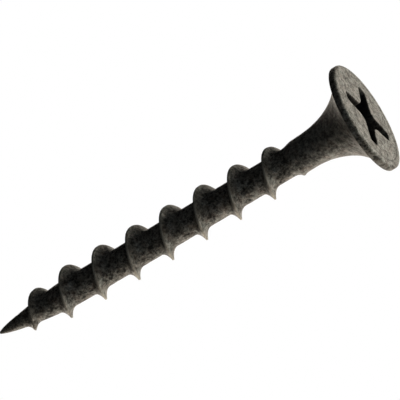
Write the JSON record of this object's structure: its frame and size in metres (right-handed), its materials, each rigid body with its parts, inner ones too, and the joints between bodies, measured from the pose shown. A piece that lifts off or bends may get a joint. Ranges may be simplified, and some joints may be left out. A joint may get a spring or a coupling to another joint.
{
  "type": "wood screw",
  "caption": "Coarse-thread wood screw with a flat-topped bugle head, a cross recess and a sharp gimlet point, in dark phosphated steel.",
  "frame": {"origin": "centre of the head's flat top, on the axis of the screw", "axes": "+Z along the screw's axis, out of the head and away from the point; the recess's wings lie along X and Y"},
  "size_m": [0.0082, 0.0082, 0.0318],
  "materials": {
    "phosphated_steel": "matt charcoal phosphate coating over hardened steel, worn lighter on the edges"
  },
  "bodies": {
    "root": {"screw": "phosphated_steel"}
  },
  "joints": []
}
